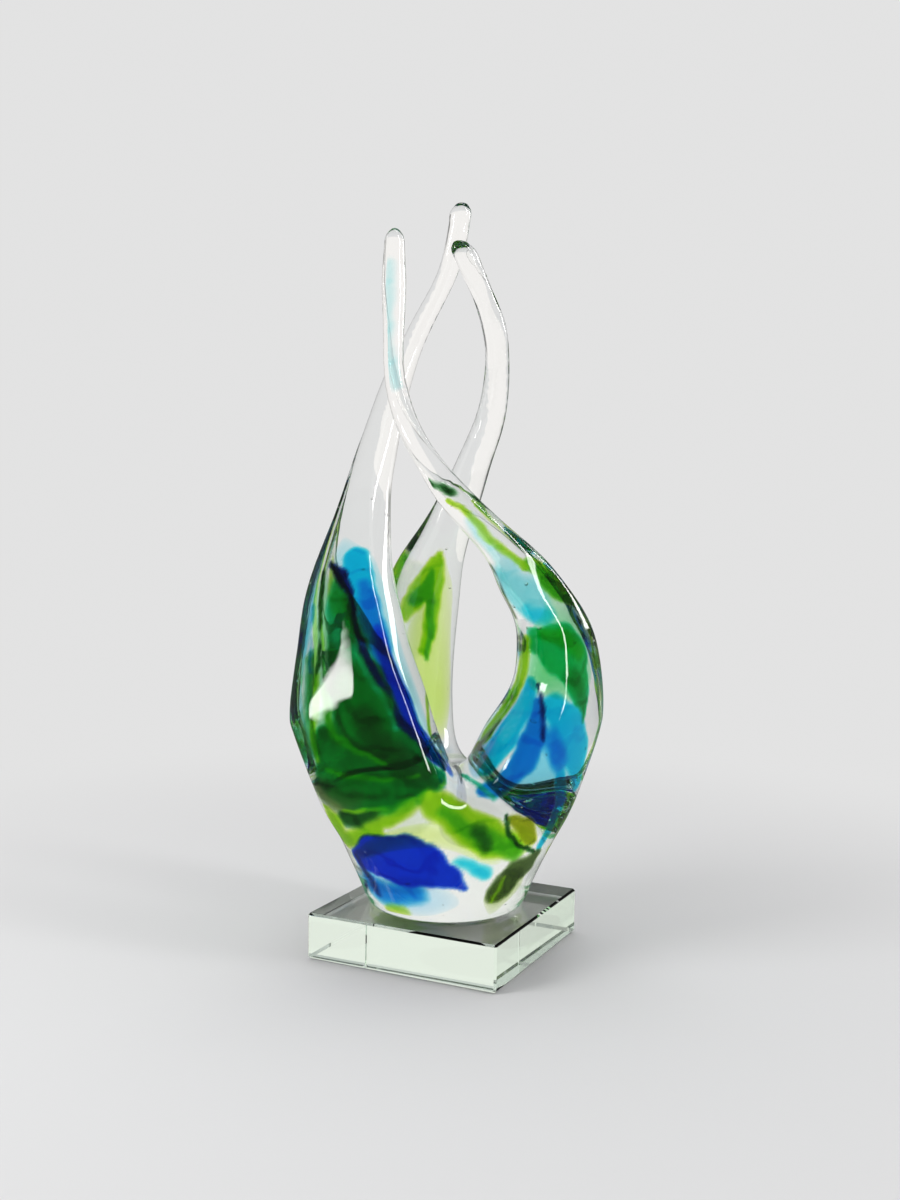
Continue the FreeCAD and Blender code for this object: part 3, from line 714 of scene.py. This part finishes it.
class Growth:
    """A geometry nodes tree, built the way Finish builds a material."""

    def __init__(self, name):
        self.tree = bpy.data.node_groups.new(name, "GeometryNodeTree")
        self.tree.interface.new_socket("Geometry", in_out="INPUT", socket_type="NodeSocketGeometry")
        self.tree.interface.new_socket("Geometry", in_out="OUTPUT", socket_type="NodeSocketGeometry")
        self.source = self.tree.nodes.new("NodeGroupInput")
        self.settings = {}

    def setting(self, name, kind, value):
        """Add a named input and return the socket that carries it."""
        made = self.tree.interface.new_socket(name, in_out="INPUT", socket_type=kind)
        self.settings[made.identifier] = value
        return self.source.outputs[name]

    def node(self, kind, settings, inputs, output=0):
        """Add a node, set its settings, then its inputs, and return one of its outputs."""
        made = self.tree.nodes.new(kind)
        for name, value in settings.items():
            setattr(made, name, value)
        for name, value in inputs.items():
            if isinstance(value, bpy.types.NodeSocket):
                self.tree.links.new(value, made.inputs[name])
            else:
                made.inputs[name].default_value = value
        return made.outputs[output]

    def grown(self, obj, geometry):
        """Close the tree, run it on an object and return the result as a plain mesh."""
        target = self.tree.nodes.new("NodeGroupOutput")
        self.tree.links.new(geometry, target.inputs[0])
        modifier = obj.modifiers.new(self.tree.name, "NODES")
        modifier.node_group = self.tree
        for identifier, value in self.settings.items():
            modifier[identifier] = value
        graph = bpy.context.evaluated_depsgraph_get()
        mesh = bpy.data.meshes.new_from_object(obj.evaluated_get(graph))
        obj.modifiers.remove(modifier)
        return mesh


def bubble_air(name, index):
    """Return the air in a bubble, seen from the glass around it."""
    material = bpy.data.materials.new(name)
    finish = Finish(material)
    mist = finish.eased(finish.clouds(finish.place(), scale=900.0), 0.5, 0.8, end=0.12)
    surface = finish.node(
        "ShaderNodeBsdfPrincipled",
        {},
        {"Base Color": WHITE, "Roughness": mist, "IOR": 1 / index, "Transmission Weight": 1.0},
    )
    finish.close(surface)
    return material


def welded(node, name):
    """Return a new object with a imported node's mesh, its loose triangles joined."""
    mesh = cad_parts[node].data.copy()
    mesh.materials.clear()
    mesh.name = name
    work = bmesh.new()
    work.from_mesh(mesh)
    bmesh.ops.remove_doubles(work, verts=work.verts, dist=WELD_GAP)
    work.to_mesh(mesh)
    work.free()
    return new_object(name, mesh)


def new_object(name, mesh):
    """Link a mesh to the scene as an object at the origin."""
    obj = bpy.data.objects.new(name, mesh)
    bpy.context.scene.collection.objects.link(obj)
    return obj


def keep_outer_shell(obj):
    """Drop the hollows from a mesh and keep the shell with the longest reach."""
    work = bmesh.new()
    work.from_mesh(obj.data)
    work.verts.ensure_lookup_table()
    left = set(work.verts)
    shells = []
    while left:
        seed = left.pop()
        shell, edge = {seed}, [seed]
        while edge:
            for link in edge.pop().link_edges:
                for vert in link.verts:
                    if vert not in shell:
                        shell.add(vert)
                        edge.append(vert)
        left -= shell
        shells.append(shell)
    keep = max(shells, key=lambda shell: max(v.co.z for v in shell) - min(v.co.z for v in shell))
    bmesh.ops.delete(work, geom=[v for v in work.verts if v not in keep], context="VERTS")
    work.to_mesh(obj.data)
    work.free()


def even_skin(obj, grain):
    """Replace an object's mesh by an evenly spaced closed skin."""
    skin = obj.modifiers.new("skin", "REMESH")
    skin.mode = "VOXEL"
    skin.voxel_size = grain
    graph = bpy.context.evaluated_depsgraph_get()
    mesh = bpy.data.meshes.new_from_object(obj.evaluated_get(graph))
    obj.modifiers.clear()
    old = obj.data
    obj.data = mesh
    mesh.name = obj.name
    bpy.data.meshes.remove(old)


class Skin:
    """A mesh's points and their neighbours as arrays, for smoothing."""

    def __init__(self, mesh):
        self.mesh = mesh
        count = len(mesh.vertices)
        self.points = np.empty(count * 3)
        mesh.vertices.foreach_get("co", self.points)
        self.points = self.points.reshape(-1, 3)
        edges = np.empty(len(mesh.edges) * 2, np.int64)
        mesh.edges.foreach_get("vertices", edges)
        edges = edges.reshape(-1, 2)
        self.start = np.concatenate([edges[:, 0], edges[:, 1]])
        self.end = np.concatenate([edges[:, 1], edges[:, 0]])
        self.links = np.bincount(self.start, minlength=count)[:, None]

    def pull(self):
        """Return the step from every point to the middle of its neighbours."""
        count = len(self.points)
        total = [np.bincount(self.start, self.points[self.end, axis], count) for axis in range(3)]
        return np.stack(total, 1) / self.links - self.points

    def normals(self):
        """Return the points' normals."""
        self.write()
        found = np.empty(len(self.points) * 3)
        self.mesh.vertices.foreach_get("normal", found)
        return found.reshape(-1, 3)

    def write(self):
        """Put the points back in the mesh."""
        self.mesh.vertices.foreach_set("co", self.points.ravel())
        self.mesh.update()

    def even_out(self, rounds):
        """Take out fine ripples and keep the size: every pull is followed by a push."""
        for step in range(rounds):
            self.points += PULL_SHARE * self.pull()
            self.points -= PUSH_SHARE * self.pull()

    def fill_valleys(self, rounds, floor):
        """Move only the points that lie in a valley, as a flame rounds it, above a height."""
        for step in range(rounds):
            if step % ROUNDS_BETWEEN_NORMALS == 0:
                normals = self.normals()
                free = (self.points[:, 2] > floor)[:, None]
            pull = self.pull()
            rise = (pull * normals).sum(1)[:, None]
            self.points += np.where((rise > 0) & free, VALLEY_SHARE * pull, 0)

    def soften(self, rounds, floor, top):
        """Melt every bump between two heights, less towards both ends."""
        height = self.points[:, 2]
        share = np.minimum((height - floor) / MELT_FADE_BELOW, (top - height) / MELT_FADE_ABOVE)
        share = PULL_SHARE * np.clip(share, 0, 1)[:, None]
        for step in range(rounds):
            self.points += share * self.pull()


def smooth(mesh):
    """Shade a mesh smoothly."""
    mesh.polygons.foreach_set("use_smooth", [True] * len(mesh.polygons))
    mesh.update()


def dress(obj, material, slot, *nodes):
    """Give a piece its material and its place in the model."""
    obj.data.materials.clear()
    obj.data.materials.append(material)
    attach(obj, "root")
    if nodes:
        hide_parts(*nodes)


class SCULPTURE_OT_clear_body(Operator):
    """Make the clear glass body with its foot, bowl and three arms"""

    bl_idname = "sculpture.clear_body"
    bl_label = "Clear body"

    def execute(self, context):
        shape = context.scene.sculpture_shape
        glass = context.scene.sculpture_glass
        body = welded("clear_glass_body", "hot_glass_body")
        keep_outer_shell(body)
        even_skin(body, shape.body_grain)
        skin = Skin(body.data)
        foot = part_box("clear_glass_body")[0].z
        skin.even_out(shape.polish_rounds)
        skin.fill_valleys(shape.valley_rounds, foot + VALLEY_START)
        skin.soften(shape.bowl_rounds, foot + MELT_START, shape.bowl_top)
        skin.even_out(shape.polish_rounds)
        skin.write()
        smooth(body.data)
        ripple, haze = 0.06 * MM, 0.03
        material = clear_glass("clear_hot_glass", glass.clear_loss, glass.glass_index, ripple, haze)
        dress(body, material, "clear_glass", "clear_glass_body")
        return {"FINISHED"}


class SCULPTURE_OT_colour_coat(Operator):
    """Lay the coat of melted colour under the clear casing"""

    bl_idname = "sculpture.colour_coat"
    bl_label = "Colour coat"

    def execute(self, context):
        shape = context.scene.sculpture_shape
        body = bpy.data.objects["hot_glass_body"]
        coat = new_object("colour_coat", body.data.copy())
        skin = Skin(coat.data)
        skin.points -= skin.normals() * shape.casing
        skin.even_out(shape.polish_rounds)
        skin.write()
        paint(coat.data, context.scene.sculpture_glass)
        smooth(coat.data)
        dress(coat, painted_glass("colour_coat_glass"), "emerald_glass")
        return {"FINISHED"}


class SCULPTURE_OT_bubbles(Operator):
    """Trap small bubbles of air in the glass"""

    bl_idname = "sculpture.bubbles"
    bl_label = "Bubbles"

    def execute(self, context):
        shape = context.scene.sculpture_shape
        air = bubble_air("trapped_air", context.scene.sculpture_glass.glass_index)
        growth = Growth("bubbles")
        per_area = growth.setting("Bubbles per square metre", "NodeSocketFloat", shape.bubble_spread)
        small = growth.setting("Smallest radius", "NodeSocketFloat", shape.bubble_small)
        large = growth.setting("Largest radius", "NodeSocketFloat", shape.bubble_large)
        deepest = growth.setting("Deepest place", "NodeSocketFloat", shape.bubble_depth)
        highest = growth.setting("Highest place", "NodeSocketFloat", shape.bubble_top)
        place = growth.node("GeometryNodeInputPosition", {}, {})
        up = growth.node("ShaderNodeSeparateXYZ", {}, {0: place}, 2)
        low = growth.node("FunctionNodeCompare", {"operation": "LESS_THAN"}, {0: up, 1: highest})
        spread = growth.tree.nodes.new("GeometryNodeDistributePointsOnFaces")
        growth.tree.links.new(growth.source.outputs[0], spread.inputs["Mesh"])
        growth.tree.links.new(low, spread.inputs["Selection"])
        growth.tree.links.new(per_area, spread.inputs["Density"])
        spread.inputs["Seed"].default_value = PLACE_SEED
        depth = growth.node(
            "ShaderNodeMath",
            {"operation": "MULTIPLY"},
            {0: growth.node("FunctionNodeRandomValue", {}, {"Seed": DEPTH_SEED}, 1), 1: deepest},
        )
        inward = growth.node("ShaderNodeMath", {"operation": "MULTIPLY"}, {0: depth, 1: -1.0})
        step = growth.node(
            "ShaderNodeVectorMath",
            {"operation": "SCALE"},
            {0: spread.outputs["Normal"], "Scale": inward},
        )
        points = growth.node("GeometryNodeSetPosition", {}, {0: spread.outputs["Points"], "Offset": step})
        # The third power of an even draw makes most bubbles small
        mostly_small = growth.node(
            "ShaderNodeMath",
            {"operation": "POWER"},
            {0: growth.node("FunctionNodeRandomValue", {}, {"Seed": SIZE_SEED}, 1), 1: 3.0},
        )
        sizes = {"Value": mostly_small, "To Min": small, "To Max": large}
        size = growth.node("ShaderNodeMapRange", {}, sizes)
        ball = growth.node("GeometryNodeMeshIcoSphere", {}, {"Radius": 1.0, "Subdivisions": 2})
        balls = growth.node("GeometryNodeInstanceOnPoints", {}, {0: points, "Instance": ball, "Scale": size})
        solid = growth.node("GeometryNodeRealizeInstances", {}, {0: balls})
        finished = growth.node("GeometryNodeSetMaterial", {}, {0: solid, "Material": air})
        mesh = growth.grown(bpy.data.objects["colour_coat"], finished)
        mesh.name = "trapped_bubbles"
        smooth(mesh)
        dress(new_object("trapped_bubbles", mesh), air, "clear_glass")
        return {"FINISHED"}


class SCULPTURE_OT_coloured_streaks(Operator):
    """Make the streaks of coloured glass inside the body"""

    bl_idname = "sculpture.coloured_streaks"
    bl_label = "Coloured streaks"

    def execute(self, context):
        shape = context.scene.sculpture_shape
        glass = context.scene.sculpture_glass
        finishes = {}
        for node, colour in STREAKS.items():
            if colour not in finishes:
                finishes[colour] = coloured_glass(colour + "_glass", getattr(glass, colour + "_loss"))
            streak = welded(node, "melted_" + node)
            even_skin(streak, shape.streak_grain)
            skin = Skin(streak.data)
            skin.even_out(shape.polish_rounds)
            skin.write()
            smooth(streak.data)
            dress(streak, finishes[colour], colour + "_glass", node)
        return {"FINISHED"}


class SCULPTURE_OT_crystal_base(Operator):
    """Finish the square crystal base and the film that bonds the foot to it"""

    bl_idname = "sculpture.crystal_base"
    bl_label = "Crystal base"

    def execute(self, context):
        glass = context.scene.sculpture_glass
        finishes = {
            "crystal_base": clear_glass("crystal", glass.crystal_loss, glass.glass_index, 0.0, 0.0),
            "adhesive_film": clear_glass("adhesive", glass.clear_loss, glass.glass_index, 0.0, 0.02),
        }
        for node, material in finishes.items():
            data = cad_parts[node].data
            data.materials.clear()
            data.materials.append(material)
        return {"FINISHED"}


class SCULPTURE_OT_stage(Operator):
    """Set the floor, the lamps, the background and the camera"""

    bl_idname = "sculpture.stage"
    bl_label = "Stage"

    def execute(self, context):
        stage = context.scene.sculpture_stage
        make_floor(stage)
        make_world(stage)
        make_lamps(stage)
        make_camera(stage)
        return {"FINISHED"}


def make_floor(stage):
    """Lay a wide pale floor that turns into the background away from the sculpture."""
    radius, below = 3.0, 0.5 * MM
    near_edge, far_edge = 0.10, 0.42
    grey, mirrored_grey = (0.71, 0.71, 0.71, 1), (0.12, 0.12, 0.12, 1)
    work = bmesh.new()
    bmesh.ops.create_circle(work, cap_ends=True, segments=96, radius=radius)
    bmesh.ops.translate(work, verts=work.verts, vec=(0, 0, -below))
    mesh = bpy.data.meshes.new("floor")
    work.to_mesh(mesh)
    work.free()
    floor = new_object("floor", mesh)
    material = bpy.data.materials.new("pale_floor")
    finish = Finish(material)
    reach = finish.node("ShaderNodeVectorMath", {"operation": "LENGTH"}, {0: finish.place()}, "Value")
    far = finish.eased(reach, near_edge, far_edge)
    near = finish.node("ShaderNodeBsdfPrincipled", {}, {"Base Color": grey, "Specular IOR Level": 0.0})
    plain = finish.node("ShaderNodeEmission", {}, {"Color": stage_tone(stage)})
    pale = finish.node("ShaderNodeMixShader", {}, {0: far, 1: near, 2: plain})
    dim = finish.node("ShaderNodeEmission", {}, {"Color": mirrored_grey})
    finish.close(finish.node("ShaderNodeMixShader", {}, {0: finish.only_mirrored(), 1: pale, 2: dim}))
    mesh.materials.append(material)


def stage_tone(stage):
    """Return the background's colour."""
    return (stage.backdrop, stage.backdrop, stage.backdrop, 1)


# Dark cards that draw the edges of clear glass: azimuth from straight behind, half width, depth
DARK_CARDS = ((-64, 9, 0.75), (60, 11, 0.9), (180, 8, 0.5), (-180, 8, 0.5))
# Bright boxes that the glass mirrors: azimuth, half width, lowest and highest lift, power
SOFT_BOXES = (
    (-108, 5.5, 1, 11, 18.0),
    (57, 5, 2, 30, 9.0),
    (111, 3.5, -10, 52, 15.0),
    (20, 60, 62, 80, 3.0),
)


def make_world(stage):
    """Show the camera a plain pale background, and the glass the cards and boxes of a studio."""
    dark, pale = (0.03, 0.035, 0.035, 1), (0.94, 0.92, 0.90, 1)
    warm, around = (1.0, 0.99, 0.97, 1), (0.55, 0.55, 0.56, 1)
    mirrored_base = 0.1
    world = bpy.data.worlds.new("studio")
    bpy.context.scene.world = world
    finish = Finish(world)
    direction = finish.node("ShaderNodeTexCoord", {}, {}, "Generated")
    parts = finish.tree.nodes.new("ShaderNodeSeparateXYZ")
    finish.tree.links.new(direction.socket, parts.inputs[0])
    across, back, up = (Socket(finish, output) for output in parts.outputs)
    # Both angles are in degrees, and the azimuth runs from -180 to 180
    degrees = 180 / math.pi
    azimuth = (across * -1).angle_from(back) * degrees - math.degrees(stage.camera_turn)
    azimuth = (azimuth * -1 + 180).wrapped(360) - 180
    lift = up.arc() * degrees
    card_foot, card_head, card_side = (-6, 0), (9, 4), 6
    card_height = finish.eased(lift, *card_foot) * finish.eased(lift, *card_head)
    cards = 0
    for centre, half, depth in DARK_CARDS:
        width = finish.eased((azimuth - centre).size(), half + card_side, half - card_side, end=depth)
        cards = cards + width * card_height
    wall_top, ceiling, ceiling_share = 20, 80, 0.45
    wall = (1 - cards) * finish.eased(lift, wall_top, ceiling, 1.0, ceiling_share)
    box_out, box_in, box_foot, box_head = 1.5, 0.5, 1, 4
    boxes = 0
    for centre, half, low, high, power in SOFT_BOXES:
        width = finish.eased((azimuth - centre).size(), half + box_out, half - box_in)
        height = finish.eased(lift, low - box_foot, low + box_foot)
        height = height * finish.eased(lift, high + box_head, high - box_head)
        boxes = boxes + width * height * power
    plain = finish.background(stage_tone(stage))
    walls = finish.background(finish.blend(wall.clamped(), dark, pale))
    mirrored = finish.background(warm, boxes + mirrored_base)
    through = finish.path("Is Transmission Ray")
    lit = finish.node("ShaderNodeMixShader", {}, {0: through, 1: finish.background(around), 2: walls})
    lit = finish.node("ShaderNodeMixShader", {}, {0: finish.only_mirrored(), 1: lit, 2: mirrored})
    seen = finish.node("ShaderNodeMixShader", {}, {0: finish.path("Is Camera Ray"), 1: lit, 2: plain})
    finish.close(seen, kind="ShaderNodeOutputWorld")


# Lamps: turn from the camera and rise in degrees, distance and size in metres, power in watts
LAMPS = (
    ("window_box", -62, 22, 0.75, (0.34, 0.5), 3.0),
    ("strip_box", 66, 30, 0.8, (0.12, 0.6), 1.6),
    ("top_box", 180, 75, 0.9, (0.6, 0.6), 2.0),
)


def make_lamps(stage):
    """Hang the soft lamps that light the floor and the base, unseen by the camera and the glass."""
    middle = Vector((0, 0, 0.15))
    for name, turn, rise, distance, size, power in LAMPS:
        lamp = bpy.data.lights.new(name, "AREA")
        lamp.shape = "RECTANGLE"
        lamp.size, lamp.size_y = size
        lamp.energy = power
        obj = bpy.data.objects.new(name, lamp)
        bpy.context.scene.collection.objects.link(obj)
        angle = stage.camera_turn + math.radians(turn)
        lift = math.radians(rise)
        away = Vector((math.sin(angle) * math.cos(lift), -math.cos(angle) * math.cos(lift), math.sin(lift)))
        obj.location = middle + away * distance
        obj.rotation_euler = away.to_track_quat("Z", "Y").to_euler()
        obj.visible_camera = False
        obj.visible_glossy = False
        obj.visible_transmission = False


def make_camera(stage):
    """Stand the camera where the photograph was taken."""
    data = bpy.data.cameras.new("camera")
    data.sensor_width = FILM_WIDTH
    data.lens = stage.camera_lens
    camera = bpy.data.objects.new("camera", data)
    bpy.context.scene.collection.objects.link(camera)
    turn = Matrix.Rotation(stage.camera_turn, 4, "Z")
    tilt = Matrix.Rotation(math.pi / 2 - stage.camera_pitch, 4, "X")
    roll = Matrix.Rotation(stage.camera_roll, 4, "Z")
    camera.matrix_world = turn @ Matrix.Translation(stage.camera_eye) @ (tilt @ roll)
    bpy.context.scene.camera = camera


class SCULPTURE_PT_panel(Panel):
    """List the sculpture's pieces and settings"""

    bl_idname = "SCULPTURE_PT_panel"
    bl_label = "Glass wave sculpture"
    bl_space_type = "VIEW_3D"
    bl_region_type = "UI"
    bl_category = "Sculpture"

    def draw(self, context):
        for step in STEPS:
            self.layout.operator(step.bl_idname)
        for group in ("sculpture_shape", "sculpture_glass", "sculpture_stage"):
            box = self.layout.box()
            settings = getattr(context.scene, group)
            for name in settings.__annotations__:
                box.prop(settings, name)


STEPS = (
    SCULPTURE_OT_clear_body,
    SCULPTURE_OT_colour_coat,
    SCULPTURE_OT_bubbles,
    SCULPTURE_OT_coloured_streaks,
    SCULPTURE_OT_crystal_base,
    SCULPTURE_OT_stage,
)
CLASSES = (ShapeSettings, GlassSettings, StageSettings, *STEPS, SCULPTURE_PT_panel)


def register():
    """Register the classes and their settings."""
    for entry in CLASSES:
        bpy.utils.register_class(entry)
    bpy.types.Scene.sculpture_shape = PointerProperty(type=ShapeSettings)
    bpy.types.Scene.sculpture_glass = PointerProperty(type=GlassSettings)
    bpy.types.Scene.sculpture_stage = PointerProperty(type=StageSettings)


def unregister():
    """Take the classes and their settings away."""
    del bpy.types.Scene.sculpture_stage
    del bpy.types.Scene.sculpture_glass
    del bpy.types.Scene.sculpture_shape
    for entry in reversed(CLASSES):
        bpy.utils.unregister_class(entry)


def main():
    """Build the sculpture and its stage."""
    register()
    bpy.ops.sculpture.clear_body()
    bpy.ops.sculpture.colour_coat()
    bpy.ops.sculpture.bubbles()
    bpy.ops.sculpture.coloured_streaks()
    bpy.ops.sculpture.crystal_base()
    bpy.ops.sculpture.stage()
    cycles = bpy.context.scene.cycles
    cycles.max_bounces = GLASS_BOUNCES
    cycles.transmission_bounces = GLASS_BOUNCES
    cycles.glossy_bounces = GLASS_BOUNCES
    cycles.transparent_max_bounces = CLEAR_BOUNCES
    bpy.context.scene.view_settings.view_transform = "Standard"


if __name__ == "__main__":
    main()
